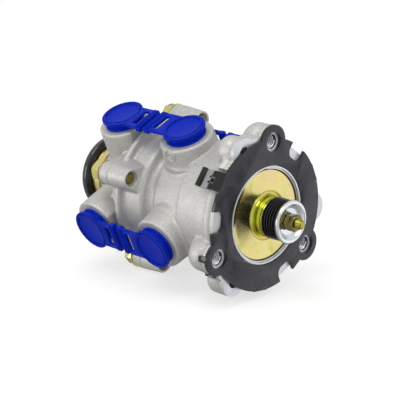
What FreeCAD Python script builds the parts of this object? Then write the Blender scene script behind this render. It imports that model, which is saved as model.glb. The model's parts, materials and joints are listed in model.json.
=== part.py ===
import FreeCAD, Part
import math
import os

# Dual-circuit foot brake valve.
# Lengths are in millimetres and angles in degrees.
# +X is the plunger's axis, out of the valve towards the pedal, and x = 0 is the casing's mounting face.
# Angles about that axis run from +Y towards +Z.

V = FreeCAD.Vector

# Layout around the axis
first_boss_angle = 203.8
flange_points = 3
ear_offset_angle = 30.0
notch_offset_angle = -30.0
strap_offset_angle = 60.0
side_order = ("left", "bottom", "right", "top")
open_sides = ("left", "top", "right")
supply_side = "top"
flange_step = 360.0 / flange_points
port_step = 360.0 / len(side_order)
lug_offset_angle = -port_step / 2

# Fits
running_clearance = 0.05
seat_gap = 0.2
fitted_clearance = 0.05
plate_clearance = 0.3

# Mounting flange of the front casing
flange_ledge = 2.2
flange_length = 9.5
bolt_circle = 98.0
boss_radius = 11.0
boss_length = 21.0
boss_end_round = 10.0
tapped_radius = 4.25
tapped_depth = 16.0
thread_chamfer = 0.9
ear_radius = 10.3
ear_length = 17.0
ear_end_round = 4.5
ear_hole_radius = 4.5
lobe_root_radius = 15.0
lobe_root_reach = 29.0
lobe_web_inset = 1.5
web_radius = 8.0
web_reach = 46.5
web_length = 14.0
pad_width = 9.0
pad_rise = 2.9
pad_offset_angle = 45.0

# Outside of the front casing
drum_radius = 46.4
drum_taper = 1.4
shoulder_x = -37.5
neck_radius = 41.0
neck_rear_radius = 38.6
valley_x = -70.0
valley_radius = 36.6
valley_half_width = 3.6
collar_radius = 43.6
joint_x = -94.0
joint_radius = 49.5
rear_joint_radius = 45.0
joint_flange_length = 4.0

# Screw lugs where the casings meet
screw_offset = 2.0
lug_radius = 8.0
lug_root_radius = 22.0
lug_root_reach = 24.0
lug_steep_root_radius = 9.5
lug_steep_root_reach = 34.0
lug_front_radius = 6.9
lug_front_root_radius = 15.0
lug_front_root_reach = 28.0
front_lug_length = 17.0
rear_lug_length = 8.5

# Casing screws
screw_radius = 4.0
screw_hole_radius = 4.4
screw_tip_back = 1.5
screw_head_flats = 13.0
screw_head_length = 8.5
screw_flange_radius = 8.7
screw_flange_length = 1.8

# Air ports
front_port_x = -52.0
rear_port_x = -113.0
port_face_height = 53.0
port_boss_radius = 18.7
port_face_edge = 0.8
port_boss_draft = 0.7
port_flare_radius = 20.4
port_flare_height = 38.5
port_flare_rise = 3.5
port_root_height = 20.0
rear_boss_draft = 0.3
port_bore_radius = 10.2
port_bore_depth = 16.0
port_mouth_chamfer = 1.3
passage_radius = 3.5
passage_offset = 6.0
rear_boss_flat_x = -97.5

# Transit plugs
plug_shank_clearance = 0.25
plug_shank_length = 9.0
plug_wall = 1.6
plug_seat_radius = 14.0
plug_seat_thickness = 1.6
plug_neck_radius = 12.6
plug_disc_radius = 14.9
plug_disc_thickness = 1.9
plug_top_height = 6.5
plug_rim_width = 1.2
plug_rim_depth = 0.35
tab_half_width = 10.6
front_tab_end = 30.0
rear_tab_end = 27.6
tab_window_length = 4.8
tab_window_margin = 1.6
tab_window_half_width = 7.2
tab_bar_length = 4.6
tab_bar_thickness = 3.6
tab_rib_count = 3
tab_rib_width = 0.8
tab_rib_height = 0.7

# Face plate
plate_thickness = 2.2
plate_overhang = 3.0
plate_hole_clearance = 0.7
plate_lobe_radius = 11.4
plate_lobe_hole_radius = 6.6
notch_half_width = 7.0
notch_depth = 9.8
notch_corner = 5.0
strap_width = 13.0
strap_length = 20.6
strap_thickness = 1.6
strap_hook_length = 3.6
strap_hook_rise = 1.6
strap_window = 5.0
strap_window_start = 8.0
barb_width = 2.4
finger_width = 4.0
finger_length = 6.6
finger_thickness = 1.4
finger_spread_angles = (-33.0, 44.0)

# Cover over the spring chamber
spigot_wall = 1.1
cover_bore_radius = 32.1
cover_thickness = 2.0
cover_lip = 0.9
cover_ring_thickness = 1.1
cover_ring_depth = 0.6
cover_ring_inner_radius = 31.0
cover_ring_gap_angle = 97.0
cover_ring_gap_width = 9.0
collar_height = 8.5
collar_outer_radius = 12.6
collar_foot_radius = 14.6
collar_lip_radius = 12.0
collar_lip_length = 1.2
collar_sleeve_length = 3.0

# Plunger
plunger_stroke = 8.0
plunger_stem_radius = 9.5
plunger_front_x = 24.1
plunger_rim_radius = 14.6
plunger_rim_length = 2.2
plunger_recess_radius = 11.6
plunger_recess_floor_radius = 9.0
plunger_recess_depth = 2.8
plunger_core_radius = 6.0
plunger_floor = 6.0
spring_plate_radius = 21.5
spring_plate_thickness = 3.0
spring_plate_rim = 2.5

# Adjuster
stud_radius = 3.0
stud_tip_x = 33.1
stud_point_length = 2.6
nut_flats = 10.0
nut_length = 7.2
nut_chamfer = 0.7

# Bellows
bellows_radius = 14.0
bellows_valley_radius = 12.3
bellows_inner_radius = 10.6
bellows_ribs = 6

# Primary piston
primary_bore_radius = 27.0
primary_head_x = -31.0
primary_head_length = 8.0
primary_stroke = 3.6
piston_hub_radius = 8.0
piston_hub_height = 5.0
piston_seat_radius = 7.0
piston_seat_bore = 4.5
piston_dish_radius = 23.0
piston_dish_depth = 4.6
seal_section = 2.6
seal_groove_depth = 2.4

# Chambers and valves, the same in both circuits
delivery_floor_x = -49.0
seat_wall = 3.0
seat_hole_radius = 9.0
seat_lip_width = 1.4
seat_lip_height = 1.0
supply_radius = 17.0
valve_disc_radius = 12.0
valve_disc_length = 3.0
valve_stem_radius = 5.5
valve_stem_bore = 3.5
valve_stem_length = 10.5
valve_stroke = 2.0
valve_limit_gap = 0.2
guide_start = 9.0
guide_length = 6.0
guide_hub_length = 2.0
guide_hub_radius = 8.0
guide_ring_thickness = 1.2
guide_ring_depth = 0.85
guide_ring_width = 2.2

# Relay piston and rear casing
relay_bore_radius = 30.0
relay_roof_x = -72.0
relay_head_x = -74.5
relay_head_length = 8.0
relay_stroke = 3.2
relay_valve_stroke = 1.8
pilot_hole_radius = 1.5
pilot_hole_reach = 22.5
spigot_length = 4.0
spigot_inner_radius = 26.0
rear_delivery_floor_x = -111.5
rear_radius = 42.5
rear_step_x = -105.0
rear_waist_radius = 36.5
rear_end_x = -127.5
rear_end_radius = 29.0
neck_outer_radius = 20.5
neck_end_x = -146.0

# Springs: wire radius and number of turns; the wire is drawn with flats to keep the hidden coils light
wire_sides = 6
graduating_wire = 1.7
graduating_turns = 4.5
graduating_coil_radius = 16.5
return_wire = 1.0
return_turns = 3.0
primary_coil_radius = 19.0
relay_turns = 4.0
relay_coil_radius = 22.0
valve_wire = 0.6
valve_turns = 3.0
valve_coil_radius = 9.4

# Exhaust end
exhaust_sheet = 1.5
exhaust_face_x = -151.0
exhaust_sleeve_length = 9.0
exhaust_hole_radius = 3.0
exhaust_hole_reach = 9.5
exhaust_holes = 6
edge_ring_section = 5.0
edge_ring_bite = 1.6
edge_ring_gap = 0.8
edge_ring_length = 5.0
flap_radius = 14.0
flap_thickness = 1.3
flap_button_radius = 3.2
flap_button_length = 1.2
flap_stem_radius = 2.0

# Places worked out from the values above
flange_angles = [first_boss_angle + flange_step * i for i in range(flange_points)]
port_angles = {side: first_boss_angle + port_step * i for i, side in enumerate(side_order)}
lug_angles = [angle + lug_offset_angle for angle in port_angles.values()]
lug_wide_sides = [-1, 1, -1, 1]
bolt_reach = bolt_circle / 2
flange_radius = drum_radius + flange_ledge
pad_reach = flange_radius + pad_rise
drum_rear_radius = drum_radius - drum_taper
screw_reach = joint_radius + screw_offset
spigot_radius = cover_bore_radius + spigot_wall
plate_radius = flange_radius + plate_overhang
plate_hole_radius = spigot_radius + plate_hole_clearance
cover_face_x = plate_thickness - cover_lip - cover_ring_thickness
cover_back_x = cover_face_x - cover_thickness
collar_front_x = collar_height
collar_bore_radius = plunger_stem_radius + running_clearance
plunger_shoulder_x = plunger_front_x - plunger_rim_length
plunger_floor_x = plunger_front_x - plunger_recess_depth
spring_plate_x = cover_back_x - collar_sleeve_length - seat_gap
plunger_end_x = spring_plate_x - spring_plate_thickness
primary_rear_x = primary_head_x - primary_head_length
stud_foot_x = primary_rear_x + 2.0
partition_rear_x = delivery_floor_x - seat_wall
seat_x = partition_rear_x - seat_lip_height
rear_partition_x = rear_delivery_floor_x - seat_wall
rear_seat_x = rear_partition_x - seat_lip_height
relay_rear_x = relay_head_x - relay_head_length
screw_seat_x = joint_x - rear_lug_length
sleeve_inner_radius = neck_outer_radius + fitted_clearance
sleeve_outer_radius = sleeve_inner_radius + exhaust_sheet
edge_ring_inner_radius = sleeve_outer_radius + edge_ring_gap
edge_ring_outer_radius = edge_ring_inner_radius + edge_ring_section
exhaust_cover_radius = edge_ring_inner_radius + edge_ring_bite


def outline(points):
    """Closed flat face in the XY plane; a step of two points is an arc through the first of them."""
    edges = []
    here = V(*points[0], 0)
    for step in points[1:] + [points[0]]:
        if isinstance(step[0], tuple):
            middle = V(*step[0], 0)
            there = V(*step[1], 0)
            edges.append(Part.Arc(here, middle, there).toShape())
        else:
            there = V(*step, 0)
            if here.distanceToPoint(there) > 1e-6:
                edges.append(Part.LineSegment(here, there).toShape())
        here = there
    return Part.Face(Part.Wire(edges))


def turned(points):
    """Solid turned about the valve's axis from (x, radius) points."""
    return outline(points).revolve(V(0, 0, 0), V(1, 0, 0), 360)


def rod(x_start, x_end, radius, reach=0.0):
    """Cylinder along the axis between two x values, offset by reach along +Y."""
    low = min(x_start, x_end)
    return Part.makeCylinder(radius, abs(x_end - x_start), V(low, reach, 0), V(1, 0, 0))


def tube(x_start, x_end, outer, inner):
    """Plain ring along the axis."""
    return rod(x_start, x_end, outer).cut(rod(x_start, x_end, inner))


def cone(x_start, x_end, start_radius, end_radius, reach=0.0):
    """Cone along the axis; x_start is below x_end."""
    return Part.makeCone(start_radius, end_radius, x_end - x_start, V(x_start, reach, 0), V(1, 0, 0))


def block(x_start, x_end, y_start, y_end, half_width):
    """Box from its x and y limits, centred on z = 0."""
    size = V(x_end - x_start, y_end - y_start, 2 * half_width)
    return Part.makeBox(size.x, size.y, size.z, V(x_start, y_start, -half_width))


def turned_to(shape, angle):
    """Copy of a shape that was made towards +Y, turned about the axis to its angle."""
    copy = shape.copy()
    copy.rotate(V(0, 0, 0), V(1, 0, 0), angle)
    return copy


def each_at(shape, angles):
    """List of copies of a shape at several angles about the axis."""
    return [turned_to(shape, angle) for angle in angles]


def on_side(shape, x, angle):
    """Shape made along +X from the axis outwards, set on the valve's side at x and angle."""
    copy = shape.copy()
    copy.rotate(V(0, 0, 0), V(0, 0, 1), 90)
    copy.translate(V(x, 0, 0))
    return turned_to(copy, angle)


def joined(shapes):
    """One solid from touching shapes."""
    return shapes[0].multiFuse(shapes[1:]).removeSplitter()


def without(shape, tools):
    """Shape with a list of tools cut away."""
    return shape.cut(tools)


def teardrop_wire(x, root_radius, root_reach, tip_radius, tip_reach):
    """Outline of a lug across the axis: the hull of a root circle and a tip circle on the +Y line."""
    spread = math.acos((root_radius - tip_radius) / (tip_reach - root_reach))
    cos_spread = math.cos(spread)
    sin_spread = math.sin(spread)
    root_low = V(x, root_reach + root_radius * cos_spread, -root_radius * sin_spread)
    root_high = V(x, root_low.y, -root_low.z)
    tip_low = V(x, tip_reach + tip_radius * cos_spread, -tip_radius * sin_spread)
    tip_high = V(x, tip_low.y, -tip_low.z)
    return Part.Wire([
        Part.LineSegment(root_low, tip_low).toShape(),
        Part.Arc(tip_low, V(x, tip_reach + tip_radius, 0), tip_high).toShape(),
        Part.LineSegment(tip_high, root_high).toShape(),
        Part.Arc(root_high, V(x, root_reach - root_radius, 0), root_low).toShape(),
    ])


def teardrop(x_front, x_rear, root_radius, root_reach, tip_radius, tip_reach):
    """Lug along the axis: the hull of a root circle and a tip circle, both on the +Y line."""
    face = Part.Face(teardrop_wire(x_rear, root_radius, root_reach, tip_radius, tip_reach))
    return face.extrude(V(x_front - x_rear, 0, 0))


def hexagon(x_start, x_end, flats, chamfer):
    """Hexagonal prism along the axis with its corners turned off at both ends."""
    corner = flats / math.sqrt(3)
    points = []
    for i in range(7):
        points.append(V(x_start, corner * math.cos(math.radians(60 * i)), corner * math.sin(math.radians(60 * i))))
    prism = Part.Face(Part.makePolygon(points)).extrude(V(x_end - x_start, 0, 0))
    slope = chamfer * 0.55
    cutter = turned([
        (x_start, 0), (x_start, corner - chamfer), (x_start + slope, corner),
        (x_end - slope, corner), (x_end, corner - chamfer), (x_end, 0),
    ])
    return prism.common(cutter)


def coil(x_rear, x_front, radius, wire, turns):
    """Open compression spring that just fits between two faces."""
    height = x_front - x_rear - 2 * wire
    helix = Part.makeHelix(height / turns, height, radius)
    corners = []
    for i in range(wire_sides + 1):
        turn = 2 * math.pi * i / wire_sides
        corners.append(V(radius + wire * math.cos(turn), 0, wire * math.sin(turn)))
    spring = Part.Wire(helix).makePipeShell([Part.makePolygon(corners)], True, True)
    spring.rotate(V(0, 0, 0), V(0, 1, 0), 90)
    spring.translate(V(x_rear + wire, 0, 0))
    return spring


def seal_ring(x_middle, outer_radius):
    """Rubber ring of round section, its outside at outer_radius."""
    half = seal_section / 2
    ring = Part.makeTorus(outer_radius - half, half, V(x_middle, 0, 0), V(1, 0, 0))
    return ring


def seal_groove(x_middle, outer_radius):
    """Groove that holds a seal ring in a piston or spigot."""
    half = seal_section / 2 + fitted_clearance
    floor = outer_radius - seal_section - fitted_clearance
    return tube(x_middle - half, x_middle + half, outer_radius + 1, floor)


def snap_ring(x_rear, x_front, outer, inner, gap_width, gap_angle):
    """Flat retaining ring with a gap."""
    ring = tube(x_rear, x_front, outer, inner)
    gap = block(x_rear - 1, x_front + 1, 0, outer + 1, gap_width / 2)
    return ring.cut(turned_to(gap, gap_angle))


def flared_boss():
    """Front port boss along +X from the axis: a drafted wall over a flared foot."""
    wall_foot = port_boss_radius + port_boss_draft
    flare_top = port_flare_height + port_flare_rise
    bend = wall_foot + (port_flare_radius - wall_foot) * 0.3
    bend_height = port_flare_height + port_flare_rise * 0.35
    return turned([
        (port_root_height, 0),
        (port_root_height, port_flare_radius),
        (port_flare_height, port_flare_radius),
        ((bend_height, bend), (flare_top, wall_foot)),
        (port_face_height - port_face_edge, port_boss_radius),
        (port_face_height, port_boss_radius - port_face_edge),
        (port_face_height, 0),
    ])


def plain_boss():
    """Rear port boss along +X from the axis, with a slight draft."""
    return turned([
        (port_root_height, 0),
        (port_root_height, port_boss_radius + rear_boss_draft),
        (port_face_height - port_face_edge, port_boss_radius),
        (port_face_height, port_boss_radius - port_face_edge),
        (port_face_height, 0),
    ])


def port_bore(chamber_radius, offset):
    """Port thread bore and the drilling from it into a chamber, along +X."""
    floor = port_face_height - port_bore_depth
    bore = rod(floor, port_face_height + 1, port_bore_radius)
    mouth = cone(port_face_height - port_mouth_chamfer, port_face_height,
                 port_bore_radius, port_bore_radius + port_mouth_chamfer)
    drilling = rod(chamber_radius - 2, floor + 1, passage_radius, offset)
    return bore.fuse([mouth, drilling])


def open_port_bores(port_x, delivery_radius):
    """Bores of one circuit: the supply side opens into the valve chamber, the others above the seat."""
    bores = []
    for side in open_sides:
        if side == supply_side:
            bore = port_bore(supply_radius, passage_offset)
        else:
            bore = port_bore(delivery_radius, -passage_offset)
        bores.append(on_side(bore, port_x, port_angles[side]))
    return bores


def rounded_pin(length, radius, end_round):
    """Round boss along the axis at the bolt circle, with its rear end rounded over."""
    bend = end_round * (1 - math.sqrt(0.5))
    pin = turned([
        (0, 0),
        (0, radius),
        (end_round - length, radius),
        ((bend - length, radius - bend), (-length, radius - end_round)),
        (-length, 0),
    ])
    pin.translate(V(0, bolt_reach, 0))
    return pin


def flange_lobe(length, radius, end_round):
    """Boss or ear of the flange with the web that joins it to the drum."""
    web = teardrop(0, lobe_web_inset - length, lobe_root_radius, lobe_root_reach, radius - 1.0, bolt_reach - 5.0)
    return rounded_pin(length, radius, end_round).fuse(web)


def tapped_hole():
    """Tapped hole of a flange boss with its chamfered mouth."""
    hole = rod(-tapped_depth, 1, tapped_radius, bolt_reach)
    mouth = cone(-thread_chamfer, 0, tapped_radius, tapped_radius + thread_chamfer, bolt_reach)
    return hole.fuse(mouth)


def one_sided(shape, side):
    """Half of a lug, on the side of its middle plane where z has the given sign."""
    far = 200.0
    low_z = 0.0 if side > 0 else -far
    keep = Part.makeBox(2 * far, far, far, V(-far, 0, low_z))
    return shape.common(keep)


def front_lug(wide_side):
    """Screw lug of the front casing: wide towards one port and steep towards the other."""
    front_x = joint_x + front_lug_length
    wide = Part.makeLoft([
        teardrop_wire(joint_x, lug_root_radius, lug_root_reach, lug_radius, screw_reach),
        teardrop_wire(front_x, lug_front_root_radius, lug_front_root_reach, lug_front_radius, screw_reach),
    ], True, True)
    steep = Part.makeLoft([
        teardrop_wire(joint_x, lug_steep_root_radius, lug_steep_root_reach, lug_radius, screw_reach),
        teardrop_wire(front_x, lug_steep_root_radius, lug_steep_root_reach, lug_front_radius, screw_reach),
    ], True, True)
    return one_sided(wide, wide_side).fuse(one_sided(steep, -wide_side))


def rear_lug(wide_side):
    """Corner block of the rear casing behind a screw lug, on the same outline."""
    wide = teardrop(joint_x, screw_seat_x, lug_root_radius, lug_root_reach, lug_radius, screw_reach)
    steep = teardrop(joint_x, screw_seat_x, lug_steep_root_radius, lug_steep_root_reach, lug_radius, screw_reach)
    return one_sided(wide, wide_side).fuse(one_sided(steep, -wide_side))


def front_outside():
    """Turned outside of the front casing, from the spigot to the joint face."""
    neck_front_x = shoulder_x - 3.0
    valley_front = valley_x + valley_half_width
    valley_rear = valley_x - valley_half_width
    flange_rear_x = joint_x + joint_flange_length
    return turned([
        (plate_thickness, 0),
        (plate_thickness, spigot_radius),
        (0, spigot_radius),
        (0, flange_radius),
        (-flange_length, flange_radius),
        (-flange_length - 0.6, drum_radius),
        (shoulder_x, drum_rear_radius),
        ((neck_front_x + 0.6, drum_rear_radius - 1.8), (neck_front_x, neck_radius)),
        (valley_front, neck_rear_radius),
        ((valley_x, valley_radius), (valley_rear, collar_radius - 3.0)),
        ((valley_rear - 1.0, collar_radius - 0.9), (valley_rear - 3.4, collar_radius)),
        (flange_rear_x + 1.6, collar_radius + 0.4),
        ((flange_rear_x + 0.5, collar_radius + 1.0), (flange_rear_x, joint_radius - 2.0)),
        (flange_rear_x - 1.0, joint_radius),
        (joint_x, joint_radius),
        (joint_x, 0),
    ])


def front_cavity():
    """Turned inside of the front casing, from the cover seat to the relay bore."""
    return turned([
        (plate_thickness + 1, 0),
        (plate_thickness + 1, cover_bore_radius),
        (cover_back_x, cover_bore_radius),
        (cover_back_x, primary_bore_radius),
        (delivery_floor_x, primary_bore_radius),
        (delivery_floor_x, seat_hole_radius),
        (seat_x, seat_hole_radius),
        (seat_x, seat_hole_radius + seat_lip_width),
        (partition_rear_x, seat_hole_radius + seat_lip_width),
        (partition_rear_x, supply_radius),
        (relay_roof_x, supply_radius),
        (relay_roof_x, relay_bore_radius),
        (joint_x - 1, relay_bore_radius),
        (joint_x - 1, 0),
    ])


def guide_ring_groove(seat):
    """Groove for the snap ring behind a valve guide."""
    front = seat - guide_start - guide_length
    return tube(front - guide_ring_thickness - 0.1, front, supply_radius + guide_ring_depth, supply_radius - 0.5)


def make_front_casing():
    """Front casing: the outside, its bosses, ears and lugs, less the bores."""
    web = teardrop(0, -web_length, lobe_root_radius, lobe_root_reach, web_radius, web_reach)
    pad = block(-flange_length, 0, drum_radius - 4, pad_reach, pad_width / 2)
    solids = [front_outside()]
    solids += each_at(flange_lobe(boss_length, boss_radius, boss_end_round), flange_angles)
    ear = flange_lobe(ear_length, ear_radius, ear_end_round)
    solids += each_at(ear, [angle + ear_offset_angle for angle in flange_angles])
    solids += each_at(web, [angle + ear_offset_angle / 2 for angle in flange_angles])
    solids += each_at(pad, [angle + pad_offset_angle for angle in flange_angles])
    solids += [turned_to(front_lug(side), angle) for side, angle in zip(lug_wide_sides, lug_angles)]
    solids += [on_side(flared_boss(), front_port_x, angle) for angle in port_angles.values()]
    groove_front = plate_thickness - cover_lip
    groove = tube(cover_face_x, groove_front, cover_bore_radius + cover_ring_depth, cover_bore_radius - 1)
    tools = [front_cavity(), groove, guide_ring_groove(seat_x)]
    tools += each_at(tapped_hole(), flange_angles)
    ear_hole = rod(-ear_length - 1, 1, ear_hole_radius, bolt_reach)
    tools += each_at(ear_hole, [angle + ear_offset_angle for angle in flange_angles])
    tools += each_at(rod(joint_x - 1, joint_x + front_lug_length + 1, screw_radius + fitted_clearance, screw_reach),
                     lug_angles)
    tools += open_port_bores(front_port_x, primary_bore_radius)
    pilot = rod(relay_roof_x - 1, delivery_floor_x + 1, pilot_hole_radius, pilot_hole_reach)
    tools.append(turned_to(pilot, lug_angles[2]))
    return without(joined(solids), tools)


def rear_outside():
    """Turned outside of the rear casing with its spigot and exhaust neck."""
    flange_rear_x = joint_x - joint_flange_length
    return turned([
        (joint_x + spigot_length, 0),
        (joint_x + spigot_length, relay_bore_radius - fitted_clearance),
        (joint_x, relay_bore_radius - fitted_clearance),
        (joint_x, rear_joint_radius),
        (flange_rear_x + 1.0, rear_joint_radius),
        ((flange_rear_x + 0.4, rear_radius + 1.0), (flange_rear_x - 0.5, rear_radius)),
        (rear_step_x, rear_radius - 0.5),
        ((rear_step_x - 1.5, rear_waist_radius + 1.5), (rear_step_x - 5.0, rear_waist_radius)),
        (rear_end_x + 6.0, rear_waist_radius - 2.0),
        ((rear_end_x + 1.8, rear_end_radius + 3.0), (rear_end_x, rear_end_radius)),
        (rear_end_x, neck_outer_radius + 2.0),
        ((rear_end_x - 0.6, neck_outer_radius + 0.6), (rear_end_x - 2.0, neck_outer_radius)),
        (neck_end_x, neck_outer_radius),
        (neck_end_x, 0),
    ])


def rear_cavity():
    """Turned inside of the rear casing, from the relay chamber to the exhaust neck."""
    return turned([
        (joint_x + spigot_length + 1, 0),
        (joint_x + spigot_length + 1, spigot_inner_radius),
        (rear_delivery_floor_x, spigot_inner_radius),
        (rear_delivery_floor_x, seat_hole_radius),
        (rear_seat_x, seat_hole_radius),
        (rear_seat_x, seat_hole_radius + seat_lip_width),
        (rear_partition_x, seat_hole_radius + seat_lip_width),
        (rear_partition_x, supply_radius),
        (neck_end_x - 1, supply_radius),
        (neck_end_x - 1, 0),
    ])


def make_rear_casing():
    """Rear casing: the outside, its port bosses and corner blocks, less the bores."""
    front_cut = block(rear_boss_flat_x, 0, 0, port_face_height + 10, port_flare_radius + 10)
    boss = on_side(plain_boss(), rear_port_x, 0).cut(front_cut)
    solids = [rear_outside()]
    solids += [turned_to(rear_lug(side), angle) for side, angle in zip(lug_wide_sides, lug_angles)]
    solids += each_at(boss, port_angles.values())
    tools = [rear_cavity(), guide_ring_groove(rear_seat_x)]
    tools.append(seal_groove(joint_x + spigot_length / 2, relay_bore_radius - fitted_clearance))
    tools += each_at(rod(screw_seat_x - 1, joint_x + 1, screw_hole_radius, screw_reach), lug_angles)
    tools += open_port_bores(rear_port_x, spigot_inner_radius)
    return without(joined(solids), tools)


def make_casing_screws():
    """Four flange-head screws that hold the casings together."""
    tip_x = joint_x + front_lug_length - screw_tip_back
    shank = rod(screw_seat_x, tip_x - 1, screw_radius, screw_reach)
    tip = cone(tip_x - 1, tip_x, screw_radius, screw_radius - 0.8, screw_reach)
    collar_x = screw_seat_x - screw_flange_length
    collar = cone(collar_x, screw_seat_x, screw_flange_radius - 1, screw_flange_radius, screw_reach)
    head = hexagon(screw_seat_x - screw_head_length, collar_x, screw_head_flats, 0.9)
    head.translate(V(0, screw_reach, 0))
    screw = joined([shank, tip, collar, head])
    return Part.makeCompound(each_at(screw, lug_angles))


def plug_tab(end):
    """Pull tab of a transit plug in the XY plane, towards +Y and 0 high at its top face."""
    strap = block(-plug_disc_thickness, 0, 0, end, tab_half_width)
    bar_start = end - tab_bar_length
    bar = block(-tab_bar_thickness, 0, bar_start, end, tab_half_width)
    window_end = bar_start - tab_window_margin
    window = block(-10, 1, window_end - tab_window_length, window_end, tab_window_half_width)
    rib_step = tab_bar_length / tab_rib_count
    ribs = []
    for i in range(tab_rib_count):
        start = bar_start + rib_step * (i + 0.5) - tab_rib_width / 2
        ribs.append(block(-0.2, tab_rib_height, start, start + tab_rib_width, tab_half_width))
    return joined([strap, bar] + ribs).cut(window)


def transit_plug(tab_end):
    """Push-in plug along +X: a hollow shank, a seat ring, and a disc with a pull tab."""
    top = port_face_height + plug_top_height
    disc_under = top - plug_disc_thickness
    shank = port_bore_radius - plug_shank_clearance
    shank_end = port_face_height - plug_shank_length
    seat = port_face_height + fitted_clearance
    rim = plug_disc_radius - plug_rim_width
    body = turned([
        (shank_end, shank - plug_wall),
        (shank_end, shank - 0.8),
        (shank_end + 2.0, shank),
        (seat, shank),
        (seat, plug_seat_radius),
        (seat + plug_seat_thickness, plug_seat_radius - 0.4),
        (seat + plug_seat_thickness, plug_neck_radius),
        (disc_under, plug_neck_radius),
        (disc_under, plug_disc_radius),
        (top, plug_disc_radius),
        (top, rim),
        (top - plug_rim_depth, rim - 0.3),
        (top - plug_rim_depth, 0),
        (disc_under, 0),
        (disc_under, shank - plug_wall),
    ])
    tab = plug_tab(tab_end)
    tab.translate(V(top, 0, 0))
    under_disc = rod(top - 10, top + 5, plug_disc_radius - 0.5)
    return body.fuse(tab.cut(under_disc)).removeSplitter()


def make_port_plugs():
    """Six plugs: on each open side the two tabs point at each other."""
    rearward = transit_plug(front_tab_end)
    forward = transit_plug(rear_tab_end)
    forward.rotate(V(0, 0, 0), V(1, 0, 0), 180)
    plugs = {}
    for side in open_sides:
        plugs["port_plug_" + side + "_front"] = on_side(rearward, front_port_x, port_angles[side])
        plugs["port_plug_" + side + "_rear"] = on_side(forward, rear_port_x, port_angles[side])
    return plugs


def plate_notch():
    """Rounded bite out of the plate's edge."""
    floor = plate_radius - notch_depth
    bite = block(-1, plate_thickness + 1, floor, plate_radius + 5, notch_half_width)
    inner_edges = []
    for edge in bite.Edges:
        middle = edge.CenterOfMass
        if abs(middle.y - floor) < 1e-6 and abs(abs(middle.z) - notch_half_width) < 1e-6:
            inner_edges.append(edge)
    return bite.makeFillet(notch_corner, inner_edges)


def latch_strap():
    """Latch strap that runs back from the plate's edge, with its window, barb and hook."""
    inner = plate_radius - strap_thickness
    end = plate_thickness - strap_length
    strap = block(end, plate_thickness, inner, plate_radius, strap_width / 2)
    hook = block(end, end + strap_hook_length, inner, plate_radius + strap_hook_rise, strap_width / 2)
    window_front = plate_thickness - strap_window_start
    window_rear = window_front - strap_window
    window = block(window_rear, window_front, inner - 1, plate_radius + 1, strap_window / 2)
    barb = block(window_rear - 0.5, window_rear + strap_window * 0.6, inner, plate_radius, barb_width / 2)
    return joined([strap, hook]).cut(window).fuse(barb).removeSplitter()


def lobe_finger():
    """Locating finger that hugs the outside of a flange boss, made round the boss's own axis."""
    inner = boss_radius + plate_clearance
    end = plate_thickness - finger_length
    finger = block(end, plate_thickness, inner - 1.0, inner + finger_thickness, finger_width / 2)
    return finger.cut(rod(end - 1, 0, inner))


def make_face_plate():
    """Face plate with its lobes, notches, latch straps and fingers."""
    solids = [rod(0, plate_thickness, plate_radius)]
    lobe = teardrop(plate_thickness, 0, lobe_root_radius, lobe_root_reach, plate_lobe_radius, bolt_reach)
    solids += each_at(lobe, flange_angles)
    solids += each_at(latch_strap(), [angle + strap_offset_angle for angle in flange_angles])
    for spread in finger_spread_angles:
        finger = turned_to(lobe_finger(), spread)
        finger.translate(V(0, bolt_reach, 0))
        solids.append(turned_to(finger, first_boss_angle))
    tools = [rod(-1, plate_thickness + 1, plate_hole_radius)]
    tools += each_at(rod(-1, plate_thickness + 1, plate_lobe_hole_radius, bolt_reach), flange_angles)
    tools += each_at(plate_notch(), [angle + notch_offset_angle for angle in flange_angles])
    return without(joined(solids), tools)


def make_cover_disc():
    """Pressed cover disc with the collar that guides the plunger."""
    foot = collar_foot_radius - collar_outer_radius
    return turned([
        (cover_back_x, collar_bore_radius + 2.4),
        (cover_back_x, cover_bore_radius - fitted_clearance),
        (cover_face_x, cover_bore_radius - fitted_clearance),
        (cover_face_x, collar_foot_radius),
        ((cover_face_x + foot * 0.3, collar_outer_radius + foot * 0.3), (cover_face_x + foot, collar_outer_radius)),
        (collar_front_x - collar_lip_length, collar_outer_radius),
        (collar_front_x, collar_lip_radius),
        (collar_front_x, collar_bore_radius),
        (cover_back_x - collar_sleeve_length, collar_bore_radius),
        (cover_back_x - collar_sleeve_length, collar_bore_radius + 2.4),
    ])


def make_plunger_cup():
    """Plunger: the cup that the pedal pushes and its hollow stem."""
    rim_edge = 0.7
    recess_lip = 0.8
    return turned([
        (plunger_end_x, plunger_core_radius),
        (plunger_end_x, plunger_stem_radius - 1.5),
        (spring_plate_x, plunger_stem_radius - 1.5),
        (spring_plate_x, plunger_stem_radius),
        (plunger_shoulder_x - 1.0, plunger_stem_radius),
        (plunger_shoulder_x, plunger_stem_radius + 1.0),
        (plunger_shoulder_x, plunger_rim_radius - 0.3),
        (plunger_shoulder_x + 0.5, plunger_rim_radius),
        (plunger_front_x - rim_edge, plunger_rim_radius),
        (plunger_front_x, plunger_rim_radius - rim_edge),
        (plunger_front_x, plunger_recess_radius + recess_lip),
        ((plunger_front_x - 0.6, plunger_recess_radius - 0.3), (plunger_floor_x, plunger_recess_floor_radius)),
        (plunger_floor_x, stud_radius + running_clearance),
        (plunger_floor_x - plunger_floor, stud_radius + running_clearance),
        (plunger_floor_x - plunger_floor, plunger_core_radius),
    ])


def make_spring_plate():
    """Pressed plate on the plunger's foot that bears on the graduating spring."""
    rear = plunger_end_x
    front = spring_plate_x
    rim_rear = rear - spring_plate_rim
    bore = plunger_stem_radius - 1.5 + fitted_clearance
    return turned([
        (rear, bore),
        (front, bore),
        (front, spring_plate_radius),
        (rim_rear, spring_plate_radius),
        (rim_rear, spring_plate_radius - 1.6),
        (rear, spring_plate_radius - 1.6),
    ])


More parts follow.
